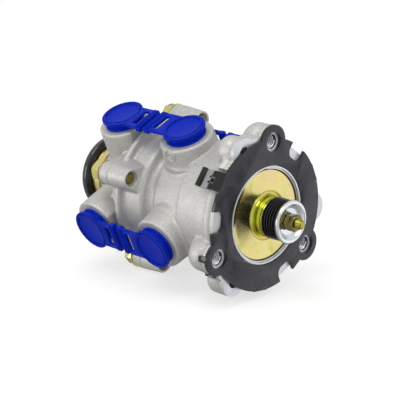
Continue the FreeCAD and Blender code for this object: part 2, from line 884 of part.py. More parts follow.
def make_adjuster_stud():
    """Stud that is screwed into the primary piston and carries the adjuster nut."""
    point_start = stud_tip_x - stud_point_length
    return turned([
        (stud_foot_x, 0),
        (stud_foot_x, stud_radius),
        (point_start, stud_radius),
        (stud_tip_x - 0.5, 1.0),
        (stud_tip_x, 0.6),
        (stud_tip_x, 0),
    ])


def make_adjuster_nut():
    """Tall hexagon nut on the stud."""
    start = plunger_floor_x + seat_gap
    nut = hexagon(start, start + nut_length, nut_flats, nut_chamfer)
    return nut.cut(rod(start - 1, start + nut_length + 1, stud_radius + fitted_clearance))


def make_bellows():
    """Ribbed rubber dust bellows between the collar and the plunger's rim."""
    start = collar_front_x + seat_gap
    end = plunger_shoulder_x - seat_gap
    pitch = (end - start) / bellows_ribs
    points = [(start, bellows_inner_radius)]
    for i in range(bellows_ribs):
        rib = start + pitch * i
        points.append((rib, bellows_valley_radius))
        points.append((rib + pitch * 0.3, bellows_radius))
        points.append((rib + pitch * 0.7, bellows_radius))
    points.append((end, bellows_valley_radius))
    points.append((end, bellows_inner_radius))
    return turned(points)


def piston(head_x, head_length, bore_radius, seat_end, hub_height, groove_radius):
    """Piston with a dished rear, a centre hub and a hollow exhaust seat, less its seal groove."""
    rear = head_x - head_length
    head_radius = bore_radius - running_clearance
    dish_front = rear + piston_dish_depth
    dish_outer = bore_radius - (primary_bore_radius - piston_dish_radius)
    body = turned([
        (head_x + hub_height, 0),
        (head_x + hub_height, piston_hub_radius),
        (head_x, piston_hub_radius),
        (head_x, head_radius - 0.6),
        (head_x - 0.6, head_radius),
        (rear, head_radius),
        (rear, dish_outer),
        (dish_front, dish_outer - 2.0),
        (dish_front, piston_seat_radius + 2.0),
        (rear, piston_seat_radius),
        (seat_end, piston_seat_radius),
        (seat_end, 0),
    ])
    bore = rod(seat_end - 1, dish_front, piston_seat_bore)
    return body.cut([bore, seal_groove(head_x - head_length / 2 + 1.6, groove_radius)])


def make_primary_piston():
    """Primary piston: carries the stud and opens the primary valve."""
    valve_face = seat_x - seat_gap
    seat_end = valve_face + primary_stroke - valve_stroke + valve_limit_gap
    body = piston(primary_head_x, primary_head_length, primary_bore_radius, seat_end, piston_hub_height,
                  primary_bore_radius - running_clearance)
    return body.cut(rod(stud_foot_x, primary_head_x + piston_hub_height + 1, stud_radius + fitted_clearance))


def make_relay_piston():
    """Relay piston: moved by the primary circuit's air, opens the secondary valve."""
    valve_face = rear_seat_x - seat_gap
    seat_end = valve_face + relay_stroke - relay_valve_stroke + valve_limit_gap
    hub = relay_roof_x - seat_gap - relay_head_x
    body = piston(relay_head_x, relay_head_length, relay_bore_radius, seat_end, hub,
                  relay_bore_radius - running_clearance)
    return body.cut(rod(relay_rear_x, relay_roof_x, piston_seat_bore))


def valve(seat):
    """Inlet and exhaust valve: a disc on a hollow stem, closed against its seat."""
    face = seat - seat_gap
    rear = face - valve_disc_length
    end = rear - valve_stem_length
    return turned([
        (face, valve_stem_bore),
        (face, valve_disc_radius - 0.5),
        (face - 0.5, valve_disc_radius),
        (rear, valve_disc_radius),
        (rear, valve_stem_radius + 1.0),
        (rear - 1.0, valve_stem_radius),
        (end, valve_stem_radius),
        (end, valve_stem_bore),
    ])


def valve_guide(seat):
    """Guide that closes the supply chamber and carries the valve's stem."""
    front = seat - guide_start
    rear = front - guide_length
    bore = valve_stem_radius + running_clearance
    return turned([
        (front + guide_hub_length, bore),
        (front + guide_hub_length, guide_hub_radius - 0.4),
        (front, guide_hub_radius),
        (front, supply_radius - fitted_clearance),
        (rear, supply_radius - fitted_clearance),
        (rear, supply_radius - 4.5),
        (rear + 3.0, supply_radius - 5.5),
        (rear + 3.0, bore + 2.5),
        (rear, bore + 2.0),
        (rear, bore),
    ])


def guide_snap_ring(seat):
    """Snap ring behind a valve guide."""
    front = seat - guide_start - guide_length - 0.05
    outer = supply_radius + guide_ring_depth - fitted_clearance
    return snap_ring(front - guide_ring_thickness, front, outer, outer - guide_ring_width, 6.0, first_boss_angle)


def valve_spring(seat):
    """Spring between a valve's disc and its guide."""
    front = seat - seat_gap - valve_disc_length - seat_gap
    rear = seat - guide_start + seat_gap
    return coil(rear, front, valve_coil_radius, valve_wire, valve_turns)


def make_exhaust_cover():
    """Pressed exhaust cover with its sleeve over the neck and its ring of holes."""
    outer_face = exhaust_face_x - exhaust_sheet
    sleeve_front = exhaust_face_x + exhaust_sleeve_length
    cover = turned([
        (sleeve_front, sleeve_inner_radius),
        (sleeve_front, sleeve_outer_radius),
        (exhaust_face_x, sleeve_outer_radius),
        (exhaust_face_x, exhaust_cover_radius),
        (outer_face, exhaust_cover_radius),
        (outer_face, 0),
        (exhaust_face_x, 0),
        (exhaust_face_x, sleeve_inner_radius),
    ])
    hole = rod(outer_face - 1, exhaust_face_x + 1, exhaust_hole_radius, exhaust_hole_reach)
    tools = each_at(hole, [360.0 / exhaust_holes * i for i in range(exhaust_holes)])
    tools.append(rod(outer_face - 1, exhaust_face_x + 1, flap_stem_radius + fitted_clearance))
    return cover.cut(tools)


def make_edge_ring():
    """Rubber ring that grips the exhaust cover's edge."""
    middle = exhaust_face_x - exhaust_sheet / 2
    front = middle + edge_ring_length / 2
    rear = middle - edge_ring_length / 2
    ring = turned([
        (rear, edge_ring_inner_radius),
        (rear, edge_ring_outer_radius - 0.8),
        (rear + 0.8, edge_ring_outer_radius),
        (front - 0.8, edge_ring_outer_radius),
        (front, edge_ring_outer_radius - 0.8),
        (front, edge_ring_inner_radius),
    ])
    slot_front = exhaust_face_x + fitted_clearance
    slot_rear = exhaust_face_x - exhaust_sheet - fitted_clearance
    return ring.cut(rod(slot_rear, slot_front, exhaust_cover_radius + fitted_clearance))


def make_exhaust_flap():
    """Rubber flap over the exhaust holes, held by its own button."""
    outer_face = exhaust_face_x - exhaust_sheet - fitted_clearance
    inner_face = exhaust_face_x + fitted_clearance
    return turned([
        (outer_face - flap_thickness, 0),
        (outer_face - flap_thickness, flap_radius - 0.5),
        (outer_face - 0.4, flap_radius),
        (outer_face, flap_radius),
        (outer_face, flap_stem_radius),
        (inner_face, flap_stem_radius),
        (inner_face, flap_button_radius),
        (inner_face + flap_button_length, flap_button_radius - 0.8),
        (inner_face + flap_button_length, 0),
    ])


def all_nodes():
    """Every piece by its node name."""
    primary_seal_x = primary_head_x - primary_head_length / 2 + 1.6
    relay_seal_x = relay_head_x - relay_head_length / 2 + 1.6
    ring_front = plate_thickness - cover_lip - fitted_clearance
    ring_rear = cover_face_x + fitted_clearance
    nodes = {
        "front_casing": make_front_casing(),
        "rear_casing": make_rear_casing(),
        "casing_screws": make_casing_screws(),
        "face_plate": make_face_plate(),
        "cover_disc": make_cover_disc(),
        "cover_snap_ring": snap_ring(ring_rear, ring_front,
                                     cover_bore_radius + cover_ring_depth - fitted_clearance,
                                     cover_ring_inner_radius, cover_ring_gap_width, cover_ring_gap_angle),
        "plunger_cup": make_plunger_cup(),
        "spring_plate": make_spring_plate(),
        "adjuster_stud": make_adjuster_stud(),
        "adjuster_nut": make_adjuster_nut(),
        "bellows": make_bellows(),
        "graduating_spring": coil(primary_head_x + seat_gap, plunger_end_x - seat_gap,
                                  graduating_coil_radius, graduating_wire, graduating_turns),
        "primary_piston": make_primary_piston(),
        "primary_piston_seal": seal_ring(primary_seal_x, primary_bore_radius - running_clearance),
        "primary_return_spring": coil(delivery_floor_x + seat_gap,
                                      primary_rear_x + piston_dish_depth - seat_gap,
                                      primary_coil_radius, return_wire, return_turns),
        "primary_valve": valve(seat_x),
        "primary_valve_spring": valve_spring(seat_x),
        "primary_valve_guide": valve_guide(seat_x),
        "primary_guide_ring": guide_snap_ring(seat_x),
        "relay_piston": make_relay_piston(),
        "relay_piston_seal": seal_ring(relay_seal_x, relay_bore_radius - running_clearance),
        "relay_return_spring": coil(rear_delivery_floor_x + seat_gap,
                                    relay_rear_x + piston_dish_depth - seat_gap,
                                    relay_coil_radius, return_wire, relay_turns),
        "casing_seal": seal_ring(joint_x + spigot_length / 2, relay_bore_radius - fitted_clearance),
        "secondary_valve": valve(rear_seat_x),
        "secondary_valve_spring": valve_spring(rear_seat_x),
        "secondary_valve_guide": valve_guide(rear_seat_x),
        "secondary_guide_ring": guide_snap_ring(rear_seat_x),
        "exhaust_cover": make_exhaust_cover(),
        "exhaust_edge_ring": make_edge_ring(),
        "exhaust_flap": make_exhaust_flap(),
    }
    nodes.update(make_port_plugs())
    return nodes


os.makedirs("parts", exist_ok=True)
for name, shape in all_nodes().items():
    shape.exportStep("parts/" + name + ".step")
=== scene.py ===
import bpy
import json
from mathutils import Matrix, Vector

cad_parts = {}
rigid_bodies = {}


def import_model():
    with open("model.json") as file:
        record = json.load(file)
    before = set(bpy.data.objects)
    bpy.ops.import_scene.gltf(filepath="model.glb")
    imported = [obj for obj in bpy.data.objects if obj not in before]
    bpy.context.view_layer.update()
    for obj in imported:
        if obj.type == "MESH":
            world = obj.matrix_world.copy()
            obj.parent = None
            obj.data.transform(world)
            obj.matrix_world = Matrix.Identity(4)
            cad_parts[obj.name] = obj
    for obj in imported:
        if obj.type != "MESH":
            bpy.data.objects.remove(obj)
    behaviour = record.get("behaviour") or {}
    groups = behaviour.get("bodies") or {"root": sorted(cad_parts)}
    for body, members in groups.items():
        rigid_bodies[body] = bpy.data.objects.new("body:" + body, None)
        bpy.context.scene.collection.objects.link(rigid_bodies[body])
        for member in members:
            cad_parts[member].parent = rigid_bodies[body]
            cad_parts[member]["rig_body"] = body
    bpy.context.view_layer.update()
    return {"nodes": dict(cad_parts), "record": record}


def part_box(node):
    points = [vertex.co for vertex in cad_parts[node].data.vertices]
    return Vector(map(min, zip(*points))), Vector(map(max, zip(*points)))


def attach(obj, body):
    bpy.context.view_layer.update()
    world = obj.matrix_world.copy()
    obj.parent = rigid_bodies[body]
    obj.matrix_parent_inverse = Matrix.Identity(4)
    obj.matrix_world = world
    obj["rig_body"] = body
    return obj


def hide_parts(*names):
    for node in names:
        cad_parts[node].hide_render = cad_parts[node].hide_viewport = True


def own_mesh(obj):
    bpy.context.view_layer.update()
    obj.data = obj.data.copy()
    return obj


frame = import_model()

import json
import math

import bpy
from bpy.props import FloatProperty, FloatVectorProperty, IntProperty, PointerProperty
from bpy.types import Operator, Panel, PropertyGroup
from mathutils import Matrix, Vector

bl_info = {
    "name": "Foot Brake Valve",
    "version": (1, 0, 0),
    "blender": (4, 5, 0),
    "location": "View3D > Sidebar > Brake Valve",
    "description": "Dresses the packed foot brake valve in its cast, plated and moulded finishes",
    "category": "Object",
}

MM = 0.001
FINISH = "_finish"

# Places on the valve: degrees round its axis, from +Y towards +Z, and millimetres
FIRST_BOSS_ANGLE = 203.8
FIRST_LUG_ANGLE = 68.8
FIRST_PORT_ANGLE = 23.8
SCREW_FLANGE = 8.7
STAMP_SPOT = Vector((-51.3, -37.1, 37.4))

# Meshing
ALONG_X = (0, math.pi / 2, 0)
WELD = 0.002 * MM
SHARP_ANGLE = 40.0
MOST_SKIN_TRIANGLES = 170000

# Each spring, with the joint that shortens it
SPRING_JOINTS = {
    "graduating_spring": "plunger_slide",
    "primary_return_spring": "primary_piston_slide",
    "primary_valve_spring": "primary_valve_slide",
    "relay_return_spring": "relay_piston_slide",
    "secondary_valve_spring": "secondary_valve_slide",
}

# Each lamp's name, place, target, size in metres and power in watts
LAMPS = (
    ("key", (0.0, -0.45, 0.95), (-0.05, 0, 0), 0.45, 2.5),
    ("side", (-0.5, -0.85, 0.05), (-0.05, 0, 0), 0.45, 2.4),
    ("front", (0.9, 0.1, 0.5), (0, 0, 0), 0.4, 1.6),
)


# Settings

def colour(name, value, text):
    """A colour setting of the sidebar, linear, with no alpha."""
    return FloatVectorProperty(name=name, default=value, min=0.0, max=1.0, size=3, subtype="COLOR",
                               description=text)


def length(name, millimetres, text):
    """A length setting of the sidebar, kept in metres."""
    return FloatProperty(name=name, default=millimetres * MM, min=0.0, precision=5, unit="LENGTH",
                         description=text)


def angle(name, degrees, text):
    """An angle setting of the sidebar, kept in radians."""
    return FloatProperty(name=name, default=math.radians(degrees), subtype="ANGLE", description=text)


def amount(name, value, text, least=0.0):
    """A plain number setting of the sidebar."""
    return FloatProperty(name=name, default=value, min=least, description=text)


def count(name, value, text, least, most):
    """A whole number setting of the sidebar."""
    return IntProperty(name=name, default=value, min=least, max=most, description=text)


def direction(name, value, text):
    """A direction setting of the sidebar."""
    return FloatVectorProperty(name=name, default=value, size=3, subtype="DIRECTION", description=text)


class CastingSettings(PropertyGroup):
    """The two casings and the screws between them."""
    cast_colour: colour("Cast", (0.48, 0.472, 0.455), "Sand-cast alloy")
    shade_colour: colour("Cast shade", (0.31, 0.285, 0.25), "Darker blotches of the cast skin")
    machined_colour: colour("Machined", (0.74, 0.76, 0.80), "Faces cut by a tool")
    grain: length("Grain", 0.8, "Size of the sand grain")
    voxel: length("Skin step", 0.75, "Mesh step of the rounded cast skin")
    rounding: count("Rounding", 2, "Smoothing passes on the cast skin", 0, 40)
    edge: length("Machined edge", 0.3, "Broken edge of the machined faces")
    facing_depth: length("Facing depth", 3.0, "Depth of the crisp front of the flange")
    stamp_radius: length("Stamp radius", 4.0, "Radius of the bare round stamp")
    stamp_rise: length("Stamp rise", 0.55, "Section radius of its rings, which stand out by half of it")
    screw_recess: length("Screw recess", 5.2, "Radius of the recess round each casing screw's end")
    thread_pitch: length("Thread pitch", 1.5, "Pitch of the tapped flange holes")
    thread_depth: length("Thread depth", 0.7, "Depth of the tapped flange holes' thread")
    thread_length: length("Thread length", 14.0, "Length of thread in each flange hole")
    liner: length("Bore wall", 0.6, "Thickness of the crisp wall round each thread")


class PlungerSettings(PropertyGroup):
    """The plunger with its boot, cup, nut and stud, and the disc it comes through."""
    boot_colour: colour("Boot", (0.008, 0.008, 0.010), "Rubber of the ribbed boot")
    ribs: count("Ribs", 6, "Number of ribs on the boot", 2, 20)
    boot_wall: length("Boot wall", 0.7, "Thickness of the boot's rubber")
    zinc_colour: colour("Zinc", (0.80, 0.83, 0.88), "Bright zinc of the cup")
    stud_pitch: length("Stud pitch", 1.0, "Pitch of the stud's thread")
    disc_dish: length("Dish", 1.9, "Rise of the disc from its rim to its collar")


class PlatingSettings(PropertyGroup):
    """The yellow chromate on the disc, the exhaust cover and the screws."""
    base_colour: colour("Chromate", (0.72, 0.64, 0.25), "Main colour of the chromate")
    olive_colour: colour("Olive", (0.40, 0.43, 0.06), "Greenish parts of the chromate")
    blush_colour: colour("Blush", (0.78, 0.52, 0.34), "Pinkish parts of the chromate")
    collar_colour: colour("Collar", (0.55, 0.56, 0.05), "Thick greenish chromate of the disc's collar")
    patch: length("Patch", 11.0, "Size of the patches of tint")


class MouldedSettings(PropertyGroup):
    """The plugs and the dark plate, both moulded."""
    plug_colour: colour("Plug", (0.0004, 0.016, 0.40), "Blue of the transit plugs")
    plug_edge: length("Plug edge", 0.16, "Rounding of the plugs' edges")
    bead_radius: length("Bead", 12.5, "Radius of the bead on each plug's disc")
    bead_rise: length("Bead rise", 0.4, "Section radius of that bead, which stands out by half of it")
    plate_colour: colour("Plate", (0.019, 0.018, 0.027), "Dark plate on the flange")
    plate_edge: length("Plate edge", 0.3, "Rounding of the plate's edges")


class StageSettings(PropertyGroup):
    """Where the camera stands, and the light."""
    yaw: angle("Yaw", 45.24, "Camera's turn about the vertical")
    pitch: angle("Pitch", 16.15, "Camera's rise over the floor")
    distance: length("Distance", 888.6, "From the camera to the valve's origin, along the view")
    aim_right: length("Aim right", 42.7, "How far right of the picture's centre the origin lies")
    aim_down: length("Aim down", 9.73, "How far under the picture's centre the origin lies")
    focal: amount("Focal length", 121.24, "Lens in mm on a 36 mm sensor", 10.0)
    light: amount("Light", 1.0, "Strength of every lamp")
    flag_way: direction("Flag", (0.856, 0.436, -0.276), "Where a black flag stands, mirrored by the metals")
    card_way: direction("Card", (0.60, 0.74, -0.30), "Where a white card stands, mirrored by the metals")
    dark_way: direction("Dark side", (-0.36, 0.86, -0.36), "The unlit side of the studio, behind the valve")
    floor_colour: colour("Floor", (0.45, 0.45, 0.45), "Pale floor")
    floor_glow: amount("Floor glow", 0.62, "Light of the floor's own, which keeps shadows pale")


SETTINGS = {
    "casting": CastingSettings,
    "plunger": PlungerSettings,
    "plating": PlatingSettings,
    "moulded": MouldedSettings,
    "stage": StageSettings,
}


class ValveSettings(PropertyGroup):
    """Every setting of the valve, one group for each kind of piece."""


for group_name, group_class in SETTINGS.items():
    ValveSettings.__annotations__[group_name] = PointerProperty(type=group_class)


def settings(group):
    """The scene's settings of one group."""
    return getattr(bpy.context.scene.brake_valve, group)


# Node trees

def set_input(tree, node, name, value):
    """Links a socket to the node's input of that identifier or name, or sets its value."""
    found = [s for s in node.inputs if s.identifier == name] or [s for s in node.inputs if s.name == name]
    if isinstance(value, bpy.types.NodeSocket):
        tree.links.new(value, found[0])
    else:
        found[0].default_value = value


def add_node(tree, kind, values, **options):
    """A node of a tree with its options and inputs set."""
    node = tree.nodes.new("ShaderNode" + kind)
    for option, value in options.items():
        setattr(node, option, value)
    for name, value in values.items():
        set_input(tree, node, name, value)
    return node


def noise(tree, vector, scale, detail=3.0, roughness=0.5):
    """The value of a noise texture."""
    values = {"Vector": vector, "Scale": scale, "Detail": detail, "Roughness": roughness}
    return add_node(tree, "TexNoise", values).outputs[0]


def spread(tree, value, low, high, to_low=0.0, to_high=1.0):
    """A value spread from low..high to another range, held at its ends."""
    values = {"Value": value, "From Min": low, "From Max": high, "To Min": to_low, "To Max": to_high}
    return add_node(tree, "MapRange", values).outputs[0]


def mixed(tree, factor, first, second):
    """Two colours mixed by a factor."""
    values = {"Factor_Float": factor, "A_Color": first, "B_Color": second}
    return add_node(tree, "Mix", values, data_type="RGBA").outputs[2]


def maths(tree, operation, first, second):
    """One step of arithmetic on two values."""
    values = {"Value": first, "Value_001": second}
    return add_node(tree, "Math", values, operation=operation).outputs[0]


def vector_maths(tree, operation, first, second=(0.0, 0.0, 0.0)):
    """The outputs of one step of arithmetic on two vectors."""
    values = {"Vector": first, "Vector_001": second}
    return add_node(tree, "VectorMath", values, operation=operation).outputs


def shader_group(name, inputs, outputs):
    """A shader node group with named sockets, and its input and output nodes."""
    group = bpy.data.node_groups.new(name, "ShaderNodeTree")
    for label, kind, value in inputs:
        socket = group.interface.new_socket(label, in_out="INPUT", socket_type="NodeSocket" + kind)
        if value is not None:
            socket.default_value = value
    for label, kind in outputs:
        group.interface.new_socket(label, in_out="OUTPUT", socket_type="NodeSocket" + kind)
    return group, group.nodes.new("NodeGroupInput").outputs, group.nodes.new("NodeGroupOutput")


def make_cast_group():
    """Sand grain as a height, and broad blotches as a mask."""
    inputs = [("Vector", "Vector", None), ("Grain", "Float", 0.55 * MM), ("Blotch", "Float", 18 * MM)]
    group, given, result = shader_group("Cast Skin", inputs, [("Height", "Float"), ("Blotches", "Float")])
    fine = noise(group, given["Vector"], maths(group, "DIVIDE", 1.0, given["Grain"]), 2.0, 0.6)
    pit_values = {"Vector": given["Vector"], "Scale": maths(group, "DIVIDE", 0.6, given["Grain"])}
    pits = spread(group, add_node(group, "TexVoronoi", pit_values).outputs[0], 0.0, 0.45)
    broad = noise(group, given["Vector"], maths(group, "DIVIDE", 1.0, given["Blotch"]), 5.0, 0.62)
    set_input(group, result, "Height", maths(group, "MULTIPLY", fine, pits))
    set_input(group, result, "Blotches", spread(group, broad, 0.38, 0.68))


def make_turned_group():
    """Fine rings round the plunger's axis, as a lathe leaves them, as a height and a mask."""
    inputs = [("Vector", "Vector", None), ("Pitch", "Float", 0.4 * MM)]
    group, given, result = shader_group("Turned Rings", inputs, [("Height", "Float"), ("Mask", "Float")])
    flat = vector_maths(group, "MULTIPLY", given["Vector"], (0.0, 1.0, 1.0))["Vector"]
    radius = vector_maths(group, "LENGTH", flat)["Value"]
    ring_values = {"W": maths(group, "DIVIDE", radius, given["Pitch"]), "Scale": 1.0, "Detail": 2.0}
    rings = add_node(group, "TexNoise", ring_values, noise_dimensions="1D").outputs[0]
    worn = noise(group, given["Vector"], 90.0, 4.0, 0.6)
    set_input(group, result, "Height", rings)
    set_input(group, result, "Mask", maths(group, "MULTIPLY", rings, worn))


def make_plating_group():
    """Patches of tint in a plated surface, with a mask for its duller parts."""
    inputs = [("Vector", "Vector", None), ("Base", "Color", None), ("Olive", "Color", None),
              ("Blush", "Color", None), ("Patch", "Float", 11 * MM)]
    group, given, result = shader_group("Plating Tints", inputs, [("Color", "Color"), ("Dull", "Float")])
    scale = maths(group, "DIVIDE", 1.0, given["Patch"])
    green = spread(group, noise(group, given["Vector"], scale, 4.0, 0.55), 0.52, 0.66, 0.0, 0.55)
    moved = vector_maths(group, "ADD", given["Vector"], (0.31, 0.17, 0.53))["Vector"]
    pink = spread(group, noise(group, moved, scale, 3.0, 0.5), 0.5, 0.68, 0.0, 0.6)
    fine = noise(group, given["Vector"], maths(group, "MULTIPLY", scale, 14.0), 2.0)
    speck = spread(group, fine, 0.3, 0.75, 0.0, 0.35)
    tint = mixed(group, pink, mixed(group, green, given["Base"], given["Olive"]), given["Blush"])
    set_input(group, result, "Color", mixed(group, speck, tint, given["Base"]))
    set_input(group, result, "Dull", speck)


def make_scuff_group():
    """Small scuffs and dust on moulded pieces, as a mask and a height."""
    inputs = [("Vector", "Vector", None), ("Scale", "Float", 120.0), ("Amount", "Float", 0.3)]
    group, given, result = shader_group("Scuffs", inputs, [("Mask", "Float"), ("Height", "Float")])
    cloud = noise(group, given["Vector"], given["Scale"], 6.0, 0.65)
    thin = noise(group, given["Vector"], maths(group, "MULTIPLY", given["Scale"], 9.0), 2.0, 0.5)
    mask = maths(group, "MULTIPLY", spread(group, cloud, 0.45, 0.72), given["Amount"])
    set_input(group, result, "Mask", mask)
    set_input(group, result, "Height", thin)


def group_outputs(tree, name, **values):
    """The outputs of a group node in a tree, its inputs set."""
    node = tree.nodes.new("ShaderNodeGroup")
    node.node_tree = bpy.data.node_groups[name]
    for label, value in values.items():
        set_input(tree, node, label, value)
    return node.outputs


# Materials

def opaque(value, share=1.0):
    """A colour setting with full alpha, or a darker or brighter share of it."""
    return (*(share * part for part in value), 1.0)


def new_material(name, **values):
    """A material's tree, main shader and place coordinates; values set the shader's own sockets."""
    material = bpy.data.materials.new(name + FINISH)
    material.use_nodes = True
    tree = material.node_tree
    shader = tree.nodes["Principled BSDF"]
    for label, value in values.items():
        set_input(tree, shader, label.replace("_", " "), value)
    place = tree.nodes.new("ShaderNodeTexCoord").outputs["Object"]
    return tree, shader, place


def set_surface(tree, shader, tone, roughness, height, depth):
    """Sets a shader's colour, its roughness and the bump of its surface."""
    set_input(tree, shader, "Base Color", tone)
    set_input(tree, shader, "Roughness", roughness)
    bump = add_node(tree, "Bump", {"Height": height, "Distance": depth, "Strength": 1.0})
    set_input(tree, shader, "Normal", bump.outputs[0])


def make_cast_material():
    """Sand-cast alloy."""
    own = settings("casting")
    cast = opaque(own.cast_colour)
    tree, shader, place = new_material("cast_alloy", Metallic=0.5)
    skin = group_outputs(tree, "Cast Skin", Vector=place, Grain=own.grain)
    tone = mixed(tree, skin["Blotches"], cast, opaque(own.shade_colour))
    tone = mixed(tree, 0.6, tone, cast)
    tone = mixed(tree, spread(tree, skin["Height"], 0.2, 0.6), tone, opaque(own.cast_colour, 1.22))
    roughness = spread(tree, skin["Blotches"], 0.0, 1.0, 0.46, 0.6)
    set_surface(tree, shader, tone, roughness, skin["Height"], 0.09 * MM)


def make_turned_material(name, tint, pitch, rough, **values):
    """Metal with fine turning rings; rough is its lowest and highest roughness."""
    tree, shader, place = new_material(name, **values)
    rings = group_outputs(tree, "Turned Rings", Vector=place, Pitch=pitch)
    tone = mixed(tree, rings["Mask"], opaque(tint), opaque(tint, 0.72))
    roughness = spread(tree, rings["Mask"], 0.05, 0.5, *rough)
    set_surface(tree, shader, tone, roughness, rings["Height"], 0.012 * MM)


def make_plated_material(name, base, olive, blush, rough):
    """Chromated steel, its tints in patches; rough is its lowest and highest roughness."""
    tree, shader, place = new_material(name, Metallic=1.0)
    plating = group_outputs(tree, "Plating Tints", Vector=place, Base=opaque(base), Olive=opaque(olive),
                            Blush=opaque(blush), Patch=settings("plating").patch)
    roughness = spread(tree, plating["Dull"], 0.0, 0.35, *rough)
    set_surface(tree, shader, plating["Color"], roughness, plating["Dull"], 0.02 * MM)


def make_moulded_material(name, base, dusty, rough, scuffed, grain, **values):
    """A moulded plastic or rubber with scuffs; rough is its lowest and highest roughness."""
    tree, shader, place = new_material(name, **values)
    scuffs = group_outputs(tree, "Scuffs", Vector=place, Amount=scuffed)
    tone = mixed(tree, scuffs["Mask"], opaque(base), opaque(dusty))
    roughness = spread(tree, scuffs["Mask"], 0.0, 0.3, *rough)
    set_surface(tree, shader, tone, roughness, scuffs["Height"], grain)


def make_strap_material():
    """Gloss black of the plate's straps, with a painted grey reflection on the stretch before their ends.
    """
    tree, shader, place = new_material("rubbed_black", Metallic=0.45)
    scuffs = group_outputs(tree, "Scuffs", Vector=place, Scale=160.0, Amount=0.5)
    across = add_node(tree, "SeparateXYZ", {"Vector": place}).outputs["X"]
    ragged = maths(tree, "ADD", across, maths(tree, "MULTIPLY", scuffs["Mask"], 4 * MM))
    # Painted reflection: a grey band along the strap, its start made ragged by the scuffs
    starts = spread(tree, ragged, -8.5 * MM, -9.5 * MM)
    ends = spread(tree, across, -14.9 * MM, -14.5 * MM)
    painted_reflection = maths(tree, "MULTIPLY", starts, ends)
    tone = mixed(tree, painted_reflection, (0.012, 0.012, 0.012, 1), (0.30, 0.30, 0.31, 1))
    roughness = spread(tree, scuffs["Mask"], 0.0, 0.5, 0.3, 0.45)
    set_surface(tree, shader, tone, roughness, scuffs["Height"], 0.008 * MM)


def make_finishes():
    """Every node group and material of the valve."""
    casting, plunger, plating, moulded = (settings(g) for g in ("casting", "plunger", "plating", "moulded"))
    make_cast_group()
    make_turned_group()
    make_plating_group()
    make_scuff_group()
    make_cast_material()
    make_strap_material()
    make_turned_material("machined_alloy", casting.machined_colour, 0.5 * MM, (0.28, 0.42), Metallic=0.55)
    # Dark metal that is painted into the tapped bores as shade
    make_turned_material("oily_alloy", (0.16, 0.155, 0.15), 0.5 * MM, (0.3, 0.45), Metallic=0.8)
    make_turned_material("bright_zinc", plunger.zinc_colour, 0.35 * MM, (0.12, 0.24), Metallic=1.0)
    make_turned_material("spring_steel", (0.62, 0.62, 0.64), 0.3 * MM, (0.2, 0.35), Metallic=1.0)
    make_turned_material("piston_alloy", (0.66, 0.66, 0.67), 0.5 * MM, (0.25, 0.4), Metallic=1.0)
    make_plated_material("yellow_chromate", plating.base_colour, plating.olive_colour,
                         plating.blush_colour, (0.11, 0.24))
    make_plated_material("green_chromate", plating.collar_colour, (0.10, 0.22, 0.01),
                         (0.80, 0.70, 0.14), (0.08, 0.2))
    make_plated_material("gold_chromate", (0.42, 0.37, 0.07), (0.22, 0.24, 0.02),
                         (0.5, 0.34, 0.12), (0.12, 0.24))
    make_plated_material("olive_chromate", (0.22, 0.19, 0.06), (0.13, 0.15, 0.02),
                         (0.30, 0.19, 0.08), (0.14, 0.26))
    make_moulded_material("dark_plate", moulded.plate_colour, (0.044, 0.043, 0.055), (0.3, 0.5),
                          scuffed=0.5, grain=0.01 * MM)
    make_moulded_material("gloss_black", (0.006, 0.006, 0.007), (0.04, 0.04, 0.04), (0.16, 0.3),
                          scuffed=0.3, grain=0.008 * MM)
    make_moulded_material("black_rubber", plunger.boot_colour, (0.05, 0.05, 0.05), (0.10, 0.26),
                          scuffed=0.25, grain=0.008 * MM, Coat_Weight=0.6, Coat_Roughness=0.12)
    make_moulded_material("valve_rubber", (0.03, 0.03, 0.03), (0.08, 0.08, 0.08), (0.5, 0.7),
                          scuffed=0.3, grain=0.02 * MM)
    make_moulded_material("blue_plastic", moulded.plug_colour, (0.004, 0.03, 0.50), (0.24, 0.4),
                          scuffed=0.3, grain=0.008 * MM, Specular_IOR_Level=0.05)


# Modelling

def only(piece):
    """Makes one object the selected and active one."""
    bpy.ops.object.select_all(action="DESELECT")
    piece.select_set(True)
    bpy.context.view_layer.objects.active = piece


def delete(piece):
    """Deletes one object."""
    only(piece)
    bpy.ops.object.delete()


def join(piece, other):
    """Joins another object into a piece."""
    only(piece)
    other.select_set(True)
    bpy.ops.object.join()


def copied(piece, name):
    """A copy of a piece, with a mesh of its own."""
    copy = piece.copy()
    copy.data = piece.data.copy()
    copy.name = name
    bpy.context.scene.collection.objects.link(copy)
    return copy


def edit(piece):
    """Opens an object in edit mode with all of its mesh selected."""
    only(piece)
    bpy.ops.object.mode_set(mode="EDIT")
    bpy.ops.mesh.select_all(action="SELECT")


def leave_edit():
    """Goes back to object mode."""
    bpy.ops.object.mode_set(mode="OBJECT")


def finish_edit(weld=False):
    """Turns all normals of the open mesh outwards, its doubled points merged if asked, and leaves it."""
    bpy.ops.mesh.select_all(action="SELECT")
    if weld:
        bpy.ops.mesh.remove_doubles(threshold=WELD)
    bpy.ops.mesh.normals_make_consistent(inside=False)
    leave_edit()


def settle():
    """Works the active object's place and turn into its mesh, so that it stands at the origin, unturned."""
    bpy.ops.object.transform_apply(location=True, rotation=True, scale=True)


def smooth(degrees=SHARP_ANGLE):
    """Shades the active object smooth, except over edges sharper than an angle."""
    bpy.ops.object.shade_smooth_by_angle(angle=math.radians(degrees))


def apply_modifier(piece, kind, **options):
    """Adds a modifier to a piece and applies it."""
    only(piece)
    bpy.ops.object.modifier_add(type=kind)
    modifier = piece.modifiers[-1]
    for option, value in options.items():
        setattr(modifier, option, value)
    bpy.ops.object.modifier_apply(modifier=modifier.name)


def bevel(piece, width, limit=SHARP_ANGLE):
    """Rounds a piece's edges that are sharper than a limit, in degrees."""
    apply_modifier(piece, "BEVEL", width=width, segments=2, limit_method="ANGLE",
                   angle_limit=math.radians(limit))


